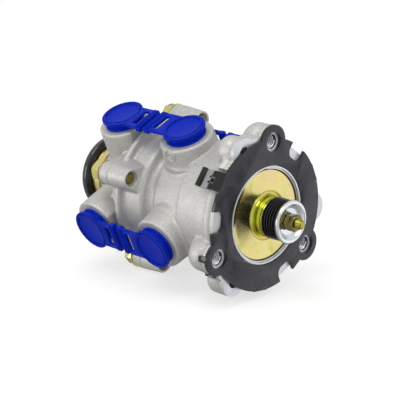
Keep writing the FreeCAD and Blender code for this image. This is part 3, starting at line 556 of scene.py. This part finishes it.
def merged_copy(node, name):
    """A loose copy of a CAD node with its doubled points merged and its normals set anew."""
    piece = bpy.data.objects.new(name, frame["nodes"][node].data.copy())
    bpy.context.scene.collection.objects.link(piece)
    piece.data.materials.clear()
    only(piece)
    bpy.ops.mesh.customdata_custom_splitnormals_clear()
    edit(piece)
    finish_edit(weld=True)
    return piece


def broken_edges(piece, width, limit=SHARP_ANGLE):
    """Rounds the sharp edges of a copy of a CAD node, its flat faces merged first."""
    edit(piece)
    bpy.ops.mesh.dissolve_limited(angle_limit=math.radians(0.5))
    leave_edit()
    bevel(piece, width, limit)
    smooth(38.0)


def turned(name, profile, sides=96):
    """A piece turned about the plunger's axis; its profile is pairs of x and radius back to the first."""
    (x, radius), *steps = profile
    bpy.ops.mesh.primitive_circle_add(vertices=sides, radius=radius, location=(x, 0, 0), rotation=ALONG_X)
    piece = bpy.context.object
    piece.name = name
    settle()
    edit(piece)
    for next_x, next_radius in steps:
        bpy.ops.mesh.extrude_region_move(TRANSFORM_OT_translate={"value": (next_x - x, 0, 0)})
        scale = next_radius / radius
        bpy.ops.transform.resize(value=(1, scale, scale), center_override=(0, 0, 0))
        x, radius = next_x, next_radius
    finish_edit(weld=True)
    smooth()
    return piece


def helix(name, centre, radius, pitch, depth, turns, inward):
    """A thread's ridge wound about a line along X through a point; inward ridges stand towards it."""
    bpy.ops.mesh.primitive_circle_add(vertices=3, radius=depth * 2 / 3, location=centre, fill_type="NGON")
    piece = bpy.context.object
    piece.name = name
    edit(piece)
    bpy.ops.transform.resize(value=(0.62 * pitch / depth, 1, 1), center_override=centre)
    if inward:
        bpy.ops.transform.resize(value=(1, -1, 1), center_override=centre)
    bpy.ops.transform.translate(value=(0, radius, 0))
    bpy.ops.mesh.delete(type="ONLY_FACE")
    leave_edit()
    apply_modifier(piece, "SCREW", axis="X", screw_offset=pitch, iterations=turns, steps=36,
                   render_steps=36)
    edit(piece)
    bpy.ops.mesh.fill_holes(sides=3)
    finish_edit()
    settle()
    smooth()
    return piece


def bore_wall(centre, radius, near, far, thickness):
    """A thin round wall about a line along X through a point, between two depths behind it."""
    bpy.ops.mesh.primitive_circle_add(vertices=64, radius=radius, rotation=ALONG_X,
                                      location=Vector(centre) - Vector((near, 0, 0)))
    wall = bpy.context.object
    settle()
    edit(wall)
    bpy.ops.mesh.extrude_region_move(TRANSFORM_OT_translate={"value": (near - far - 0.4 * MM, 0, 0)})
    finish_edit()
    apply_modifier(wall, "SOLIDIFY", thickness=thickness, offset=1.0)
    smooth()
    return wall


def cut_bore(piece, start, overshoot, radius, depth):
    """Cuts a round hole along X into a piece, from an overshoot before a point to a depth behind it."""
    reach = depth + overshoot
    middle = start + Vector((overshoot, 0, 0)) - Vector((reach / 2, 0, 0))
    bpy.ops.mesh.primitive_cylinder_add(vertices=64, radius=radius, depth=reach, location=middle,
                                        rotation=ALONG_X)
    cutter = bpy.context.object
    apply_modifier(piece, "BOOLEAN", object=cutter, operation="DIFFERENCE", solver="EXACT")
    delete(cutter)


def keep_beyond(piece, x, side):
    """Cuts a piece across at x and keeps its front or its back."""
    edit(piece)
    bpy.ops.mesh.bisect(plane_co=(x, 0, 0), plane_no=(1, 0, 0), clear_inner=side == "front",
                        clear_outer=side == "back", use_fill=side == "back")
    leave_edit()


def cast_skin(piece):
    """Gives a casting its rounded skin: the mesh is made anew in even steps and smoothed."""
    own = settings("casting")
    apply_modifier(piece, "REMESH", mode="VOXEL", voxel_size=own.voxel)
    apply_modifier(piece, "SMOOTH", factor=0.5, iterations=own.rounding)
    share = MOST_SKIN_TRIANGLES / (2 * len(piece.data.polygons))
    if share < 1:
        apply_modifier(piece, "DECIMATE", ratio=share)
    only(piece)
    bpy.ops.object.shade_smooth()


def paint(piece, material, chosen=None):
    """Gives a piece a material, or only those of its faces that a test picks."""
    piece.data.materials.append(bpy.data.materials[material + FINISH])
    slot = len(piece.data.materials) - 1
    for face in piece.data.polygons:
        if chosen is None or chosen(face):
            face.material_index = slot


def stand_for(piece, node):
    """Puts a finished piece in a CAD node's place: it rides with the node's body and is shown for it."""
    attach(piece, frame["nodes"][node]["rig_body"])
    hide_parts(node)


def softened(node, name, width, material, limit=SHARP_ANGLE):
    """A copy of a CAD node with rounded edges and its finish, in the node's place."""
    piece = merged_copy(node, name)
    broken_edges(piece, width, limit)
    paint(piece, material)
    stand_for(piece, node)
    return piece


def even_turns(first_angle, number):
    """The cosines and sines of even turns round the axis, the first at an angle in degrees."""
    angles = [math.radians(first_angle + 360 * turn / number) for turn in range(number)]
    return [(math.cos(a), math.sin(a)) for a in angles]


def flange_screw_places():
    """The centres of the tapped flange holes, with their radius, from the record's mount."""
    mount = next(m for m in frame["record"]["mounts"] if m["name"] == "flange_screws")
    reach = mount["dims"]["pcd_mm"] * MM / 2
    places = [Vector((0, reach * y, reach * z)) for y, z in even_turns(FIRST_BOSS_ANGLE, 3)]
    return places, mount["dims"]["hole_r_mm"] * MM


def lug_screw_places():
    """The centres of the casing screws' front ends, one beside each port, from the screws' box."""
    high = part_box("casing_screws")[1]
    reach = (high.z - SCREW_FLANGE * MM) / math.sin(math.radians(FIRST_LUG_ANGLE))
    return [Vector((high.x, reach * y, reach * z)) for y, z in even_turns(FIRST_LUG_ANGLE, 4)]


# Pieces

class VALVE_OT_finishes(Operator):
    """Makes the node groups and materials that the pieces use"""
    bl_idname = "valve.finishes"
    bl_label = "Finishes"

    def execute(self, context):
        make_finishes()
        return {"FINISHED"}


class VALVE_OT_front_casing(Operator):
    """Dresses the front casing: a rounded cast skin behind crisp machined flange faces"""
    bl_idname = "valve.front_casing"
    bl_label = "Front casing"

    def execute(self, context):
        own = settings("casting")
        skin = merged_copy("front_casing", "front_casing_cast")
        places, hole_radius = flange_screw_places()
        bore_radius = hole_radius + own.thread_depth
        for place in places:
            cut_bore(skin, place, MM, bore_radius, own.thread_length)
        for place in lug_screw_places():
            cut_bore(skin, place, 3 * MM, own.screw_recess, 1.5 * MM)
        facing = copied(skin, "front_casing_facing")
        keep_beyond(facing, -own.facing_depth, "front")
        broken_edges(facing, own.edge)
        edit(facing)
        bpy.ops.mesh.select_all(action="DESELECT")
        bpy.ops.mesh.select_non_manifold()
        bpy.ops.mesh.fill()
        leave_edit()
        for place in places:
            cut_bore(skin, place, MM, bore_radius + own.liner, own.thread_length)
        cast_skin(skin)
        keep_beyond(skin, -own.facing_depth + own.edge, "back")

        def in_bore(face):
            """Whether a face lines a tapped hole, where dark metal is painted as shade."""
            behind = -own.thread_length - 2 * MM < face.center.x < -0.9 * MM
            if not behind or face.normal.x >= 0.5:
                return False
            return min((face.center.yz - place.yz).length for place in places) < bore_radius + 0.3 * MM

        paint(skin, "cast_alloy")
        paint(facing, "cast_alloy")
        paint(facing, "machined_alloy", lambda face: face.normal.x > 0.5 or face.center.x > 0.2 * MM)
        # Painted shade: the walls and floor of the tapped holes are painted dark
        paint(skin, "oily_alloy", in_bore)
        paint(facing, "oily_alloy", in_bore)
        join(skin, facing)
        stand_for(skin, "front_casing")
        return {"FINISHED"}


class VALVE_OT_rear_casing(Operator):
    """Dresses the rear casing with a rounded cast skin"""
    bl_idname = "valve.rear_casing"
    bl_label = "Rear casing"

    def execute(self, context):
        skin = merged_copy("rear_casing", "rear_casing_cast")
        cast_skin(skin)
        paint(skin, "cast_alloy")
        stand_for(skin, "rear_casing")
        return {"FINISHED"}


class VALVE_OT_boss_stamp(Operator):
    """Raises the bare round stamp on the front upper port boss"""
    bl_idname = "valve.boss_stamp"
    bl_label = "Boss stamp"

    def execute(self, context):
        own = settings("casting")
        skin = bpy.data.objects["front_casing_cast"]
        _, point, normal, _ = skin.closest_point_on_mesh(STAMP_SPOT * MM)
        turn = normal.to_track_quat("Z", "Y").to_euler()
        for number, reach in enumerate((own.stamp_radius, 0.45 * own.stamp_radius), 1):
            bpy.ops.mesh.primitive_torus_add(major_segments=64, minor_segments=12, major_radius=reach,
                                             minor_radius=own.stamp_rise, rotation=turn,
                                             location=point - normal * own.stamp_rise / 2)
            ring = context.object
            ring.name = f"boss_stamp_{number}"
            settle()
            bpy.ops.object.shade_smooth()
            paint(ring, "cast_alloy")
            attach(ring, "root")
        return {"FINISHED"}


class VALVE_OT_flange_threads(Operator):
    """Winds a thread in each of the three tapped holes of the flange, with the bore's crisp wall painted
    dark as shade
    """
    bl_idname = "valve.flange_threads"
    bl_label = "Flange threads"

    def execute(self, context):
        own = settings("casting")
        places, hole_radius = flange_screw_places()
        turns = round(own.thread_length / own.thread_pitch) - 1
        start = places[0] + Vector((-own.thread_length, 0, 0))
        first = helix("flange_thread_1", start, hole_radius + 0.66 * own.thread_depth,
                      own.thread_pitch, own.thread_depth, turns, inward=True)
        paint(first, "machined_alloy")
        wall = bore_wall(places[0], hole_radius + own.thread_depth, own.facing_depth - own.edge,
                         own.thread_length, own.liner)
        # The bore wall is painted dark, as shade inside the hole
        paint(wall, "oily_alloy")
        join(first, wall)
        threads = [first]
        for number, place in enumerate(places[1:], 2):
            thread = copied(first, f"flange_thread_{number}")
            thread.data.transform(Matrix.Translation(place - places[0]))
            threads.append(thread)
        for thread in threads:
            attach(thread, "root")
        return {"FINISHED"}


class VALVE_OT_face_plate(Operator):
    """Dresses the dark plate on the flange, with its straps and fingers"""
    bl_idname = "valve.face_plate"
    bl_label = "Face plate"

    def execute(self, context):
        plate = softened("face_plate", "dark_face_plate", settings("moulded").plate_edge,
                         "dark_plate")

        def on_strap(face):
            """Whether a face is the outer side of a strap."""
            outward = face.normal.yz.dot(face.center.yz.normalized())
            return face.center.x < -4 * MM and outward > 0.8 and face.area > 4 * MM ** 2

        paint(plate, "gloss_black", lambda face: face.center.x < -0.1 * MM or abs(face.normal.x) < 0.3)
        # The straps' outer sides get gloss black with a painted grey reflection
        paint(plate, "rubbed_black", on_strap)
        return {"FINISHED"}


class VALVE_OT_cover_disc(Operator):
    """Turns the plated disc with its dish, ring groove and collar, and dresses the ring that holds it"""
    bl_idname = "valve.cover_disc"
    bl_label = "Cover disc"

    def execute(self, context):
        own = settings("plunger")
        low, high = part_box("cover_disc")
        rim, front, back = high.y, high.x, low.x + 1.5 * MM
        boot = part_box("bellows")[1].y
        level = 0.2 * MM
        low_edge = level + 0.06 * own.disc_dish
        crown = level + own.disc_dish
        inside = boot - 2.6 * MM
        # The rim and the ring groove, the dish, the collar, and the inner side back to the rim
        profile = [
            (back, rim - 0.6 * MM), (level - 1.2 * MM, rim - 0.5 * MM), (level - 1.1 * MM, rim - 1.3 * MM),
            (level - 0.3 * MM, rim - 1.45 * MM), (level, rim - 1.8 * MM), (level, rim - 2.2 * MM),
            (low_edge, rim - 5.0 * MM), (crown, boot + 4.2 * MM), (crown + 0.1 * MM, boot + 2.9 * MM),
            (crown - 0.9 * MM, boot + 2.2 * MM), (crown - 1.2 * MM, boot + 1.3 * MM),
            (crown - 0.6 * MM, boot + 0.5 * MM), (crown + 0.9 * MM, boot - 0.1 * MM),
            (crown + 2.2 * MM, boot - 0.5 * MM), (crown + 3.0 * MM, boot - 0.2 * MM),
            (crown + 3.7 * MM, boot - 0.5 * MM), (crown + 4.4 * MM, boot - 1.2 * MM),
            (front - 0.7 * MM, boot - 1.3 * MM), (front - 0.1 * MM, boot - 1.6 * MM),
            (front, inside + 0.2 * MM), (front - 1.0 * MM, inside), (crown, inside),
            (crown - 2.2 * MM, inside + 2.6 * MM), (level - 1.4 * MM, boot + 6 * MM),
            (level - 2.4 * MM, rim - 4.0 * MM), (back, rim - 2.4 * MM), (back, rim - 0.6 * MM),
        ]
        disc = turned("plated_disc", profile)
        bevel(disc, 0.25 * MM)

        def on_collar(face):
            """Whether a face belongs to the collar."""
            return face.center.x > crown and face.center.yz.length < boot + 0.4 * MM

        def in_painted_groove_shade(face):
            """Whether a face lies in the gap beside the snap ring, where black is painted as shade."""
            return face.center.x < level - 0.1 * MM and face.center.yz.length > rim - 1.7 * MM

        paint(disc, "yellow_chromate")
        paint(disc, "green_chromate", on_collar)
        # Painted shade: the groove beside the snap ring is painted gloss black
        paint(disc, "gloss_black", in_painted_groove_shade)
        stand_for(disc, "cover_disc")
        softened("cover_snap_ring", "bright_snap_ring", 0.2 * MM, "spring_steel")
        return {"FINISHED"}


class VALVE_OT_boot(Operator):
    """Turns the ribbed rubber boot round the plunger"""
    bl_idname = "valve.boot"
    bl_label = "Boot"

    def execute(self, context):
        own = settings("plunger")
        low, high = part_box("bellows")
        crest = high.y
        root = crest - 2.2 * MM
        flank = root + 0.6 * MM
        step = (high.x - low.x) / own.ribs
        profile = [(low.x, root - 0.2 * MM)]
        for rib in range(own.ribs):
            x = low.x + rib * step
            top = crest - 0.03 * MM * rib
            shoulder = top - 0.18 * MM
            profile += [
                (x + 0.12 * step, root), (x + 0.26 * step, flank), (x + 0.40 * step, shoulder),
                (x + 0.52 * step, top), (x + 0.64 * step, shoulder), (x + 0.78 * step, flank),
                (x + 0.92 * step, root),
            ]
        profile.append((high.x, root - 0.2 * MM))
        boot = turned("ribbed_boot", profile)
        apply_modifier(boot, "SOLIDIFY", thickness=own.boot_wall, offset=-1.0)
        only(boot)
        bpy.ops.object.shade_smooth()
        paint(boot, "black_rubber")
        stand_for(boot, "bellows")
        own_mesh(boot)
        return {"FINISHED"}


class VALVE_OT_plunger(Operator):
    """Dresses the zinc cup, the nut and the stud, and winds the stud's thread"""
    bl_idname = "valve.plunger"
    bl_label = "Plunger"

    def execute(self, context):
        own = settings("plunger")
        softened("plunger_cup", "zinc_cup", 0.3 * MM, "bright_zinc")
        softened("adjuster_nut", "adjuster_nut_plated", 0.25 * MM, "olive_chromate",
                 limit=25.0)
        nut_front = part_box("adjuster_nut")[1].x
        low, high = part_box("adjuster_stud")
        tip, bar = high.x, high.y - 0.15 * MM
        profile = [
            (low.x, 0.4 * bar), (low.x, bar), (tip - 0.8 * MM, bar), (tip - 0.3 * MM, 0.92 * bar),
            (tip, 0.78 * bar), (tip, 0.5 * bar), (tip, 0.01 * bar), (low.x, 0.01 * bar), (low.x, 0.4 * bar),
        ]
        stud = turned("adjuster_stud_plated", profile, 48)
        paint(stud, "gold_chromate")
        stand_for(stud, "adjuster_stud")
        turns = int((tip - nut_front) / own.stud_pitch) - 1
        start = Vector((tip - (turns + 1.6) * own.stud_pitch, 0, 0))
        thread = helix("stud_thread", start, high.y - 0.1 * MM, own.stud_pitch, 0.45 * MM, turns,
                       inward=False)
        paint(thread, "gold_chromate")
        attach(thread, "primary_piston")
        return {"FINISHED"}


class VALVE_OT_port_plugs(Operator):
    """Dresses the six transit plugs"""
    bl_idname = "valve.port_plugs"
    bl_label = "Port plugs"

    def execute(self, context):
        edge = settings("moulded").plug_edge
        for node in sorted(n for n in frame["nodes"] if n.startswith("port_plug")):
            softened(node, node.replace("port_plug", "blue_plug"), edge, "blue_plastic")
        return {"FINISHED"}


class VALVE_OT_plug_beads(Operator):
    """Raises a round bead on each plug's disc"""
    bl_idname = "valve.plug_beads"
    bl_label = "Plug beads"

    def execute(self, context):
        own = settings("moulded")
        bpy.ops.mesh.primitive_torus_add(major_segments=72, minor_segments=10, major_radius=own.bead_radius,
                                         minor_radius=own.bead_rise)
        first = context.object
        bpy.ops.object.shade_smooth()
        paint(first, "blue_plastic")
        ways = [Vector((0, y, z)) for y, z in even_turns(FIRST_PORT_ANGLE, 4)]
        for plug in [o for o in context.scene.objects if o.name.startswith("blue_plug")]:
            points = [v.co for v in plug.data.vertices]
            way = max(ways, key=lambda w: w.dot(points[0]))
            heights = [p.dot(way) for p in points]
            foot = min(heights) + MM
            shank = [p.x for p, height in zip(points, heights) if height < foot]
            centre = Vector(((min(shank) + max(shank)) / 2, 0, 0)) + way * max(heights)
            bead = copied(first, plug.name.replace("blue_plug", "plug_bead"))
            turn = way.to_track_quat("Z", "Y").to_matrix().to_4x4()
            bead.data.transform(Matrix.Translation(centre - way * own.bead_rise / 2) @ turn)
            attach(bead, "root")
        delete(first)
        return {"FINISHED"}


class VALVE_OT_casing_screws(Operator):
    """Dresses the screws that hold the casings together"""
    bl_idname = "valve.casing_screws"
    bl_label = "Casing screws"

    def execute(self, context):
        screws = softened("casing_screws", "plated_screws", 0.25 * MM, "yellow_chromate",
                          limit=25.0)
        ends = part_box("casing_screws")[1].x - 2 * MM
        paint(screws, "olive_chromate", lambda face: face.center.x > ends)
        return {"FINISHED"}


class VALVE_OT_exhaust(Operator):
    """Dresses the exhaust's cover, edge ring and flap"""
    bl_idname = "valve.exhaust"
    bl_label = "Exhaust"

    def execute(self, context):
        softened("exhaust_cover", "plated_exhaust_cover", 0.3 * MM, "yellow_chromate")
        softened("exhaust_edge_ring", "rubber_edge_ring", 0.6 * MM, "black_rubber")
        softened("exhaust_flap", "rubber_flap", 0.3 * MM, "black_rubber")
        return {"FINISHED"}


class VALVE_OT_inner_works(Operator):
    """Gives the pieces inside the casings their finishes, and each spring a smooth-shaded copy in its place
    """
    bl_idname = "valve.inner_works"
    bl_label = "Inner works"

    def execute(self, context):
        slots = {part["node"]: part["material_slot"] for part in frame["record"]["subparts"]}
        for node, joint in SPRING_JOINTS.items():
            spring = merged_copy(node, node + "_coil")
            smooth(50.0)
            paint(spring, slots[node])
            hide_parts(node)
            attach(spring, "root")
            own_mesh(spring)
        for node, part in frame["nodes"].items():
            if not part.hide_render:
                part.data.materials.clear()
                part.data.materials.append(bpy.data.materials[slots[node] + FINISH])
        return {"FINISHED"}


# Stage

def make_world():
    """White for the camera; for all else a pale studio with a dark side, a white card and a black flag."""
    own = settings("stage")
    world = bpy.data.worlds.new("studio")
    bpy.context.scene.world = world
    world.use_nodes = True
    tree = world.node_tree
    way = tree.nodes.new("ShaderNodeTexCoord").outputs["Generated"]
    height = add_node(tree, "SeparateXYZ", {"Vector": way}).outputs["Z"]

    def towards(aim, low, high, most=1.0):
        """A mask that grows towards a direction."""
        return spread(tree, vector_maths(tree, "DOT_PRODUCT", way, aim)["Value"], low, high, 0.0, most)

    tone = mixed(tree, spread(tree, height, -0.85, -0.35), (0.40, 0.39, 0.38, 1), (0.74, 0.74, 0.74, 1))
    tone = mixed(tree, spread(tree, height, -0.2, 0.9), tone, (0.86, 0.86, 0.85, 1))
    tone = mixed(tree, towards(own.dark_way, 0.55, 0.85, 0.9), tone, (0.03, 0.03, 0.035, 1))
    tone = mixed(tree, towards(own.card_way, 0.84, 0.95), tone, (1.12, 1.12, 1.12, 1))
    tone = mixed(tree, towards(own.flag_way, 0.974, 0.994), tone, (0.01, 0.01, 0.01, 1))
    seen = add_node(tree, "LightPath", {}).outputs["Is Camera Ray"]
    set_input(tree, tree.nodes["Background"], "Color", mixed(tree, seen, tone, (1, 1, 1, 1)))


def add_floor():
    """A pale floor under the valve, which the metals don't mirror."""
    own = settings("stage")
    floor_z = min(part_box(node)[0].z for node in frame["nodes"])
    bpy.ops.mesh.primitive_plane_add(size=6, location=(0, 0, floor_z))
    floor = bpy.context.object
    floor.name = "floor"
    tree, shader, place = new_material("floor", Roughness=0.9, Specular_IOR_Level=0.0,
                                       Emission_Strength=own.floor_glow)
    scuffs = group_outputs(tree, "Scuffs", Vector=place, Scale=4.0, Amount=0.02)
    tone = mixed(tree, scuffs["Mask"], opaque(own.floor_colour), opaque(own.floor_colour, 0.9))
    set_input(tree, shader, "Base Color", tone)
    set_input(tree, shader, "Emission Color", (1.0, 1.0, 1.0, 1.0))
    paint(floor, "floor")
    floor.visible_glossy = False
    floor.visible_diffuse = False


def add_lamp(name, place, target, size, energy):
    """A soft square lamp that looks at a point."""
    bpy.ops.object.light_add(type="AREA", location=place)
    lamp = bpy.context.object
    lamp.name = name
    lamp.data.size = size
    lamp.data.energy = energy * settings("stage").light
    lamp.rotation_euler = (Vector(target) - Vector(place)).to_track_quat("-Z", "Y").to_euler()


def add_camera():
    """The camera at the photo's view of the valve."""
    own = settings("stage")
    turn, rise = own.yaw, own.pitch
    right = Vector((math.cos(turn), math.sin(turn), 0))
    back = Vector((math.sin(turn) * math.cos(rise), -math.cos(turn) * math.cos(rise), math.sin(rise)))
    up = back.cross(right)
    place = back * own.distance - right * own.aim_right + up * own.aim_down
    bpy.ops.object.camera_add(location=place, rotation=Matrix((right, up, back)).transposed().to_euler())
    camera = bpy.context.object
    camera.data.lens = own.focal
    camera.data.sensor_width = 36.0
    camera.data.dof.use_dof = False
    bpy.context.scene.camera = camera


class VALVE_OT_stage(Operator):
    """Sets the floor, the lamps and the camera"""
    bl_idname = "valve.stage"
    bl_label = "Stage"

    def execute(self, context):
        add_floor()
        make_world()
        for lamp in LAMPS:
            add_lamp(*lamp)
        add_camera()
        context.scene.view_settings.view_transform = "Standard"
        return {"FINISHED"}


OPERATORS = (
    VALVE_OT_finishes, VALVE_OT_front_casing, VALVE_OT_rear_casing, VALVE_OT_boss_stamp,
    VALVE_OT_flange_threads, VALVE_OT_face_plate, VALVE_OT_cover_disc, VALVE_OT_boot, VALVE_OT_plunger,
    VALVE_OT_port_plugs, VALVE_OT_plug_beads, VALVE_OT_casing_screws, VALVE_OT_exhaust,
    VALVE_OT_inner_works, VALVE_OT_stage,
)


# Sidebar and registration

class VALVE_PT_sidebar(Panel):
    """The valve's settings and its operators, in the 3D view's sidebar"""
    bl_idname = "VALVE_PT_sidebar"
    bl_label = "Foot Brake Valve"
    bl_space_type = "VIEW_3D"
    bl_region_type = "UI"
    bl_category = "Brake Valve"

    def draw(self, context):
        for name, group in SETTINGS.items():
            box = self.layout.box()
            box.label(text=name.capitalize())
            for label in group.__annotations__:
                box.prop(getattr(context.scene.brake_valve, name), label)
        for operator in OPERATORS:
            self.layout.operator(operator.bl_idname)


CLASSES = (*SETTINGS.values(), ValveSettings, *OPERATORS, VALVE_PT_sidebar)


def register():
    for item in CLASSES:
        bpy.utils.register_class(item)
    bpy.types.Scene.brake_valve = PointerProperty(type=ValveSettings)


def unregister():
    del bpy.types.Scene.brake_valve
    for item in reversed(CLASSES):
        bpy.utils.unregister_class(item)


def main():
    """Registers the add-on and runs its operators in order."""
    register()
    for operator in OPERATORS:
        group, name = operator.bl_idname.split(".")
        getattr(getattr(bpy.ops, group), name)()


if __name__ == "__main__":
    main()
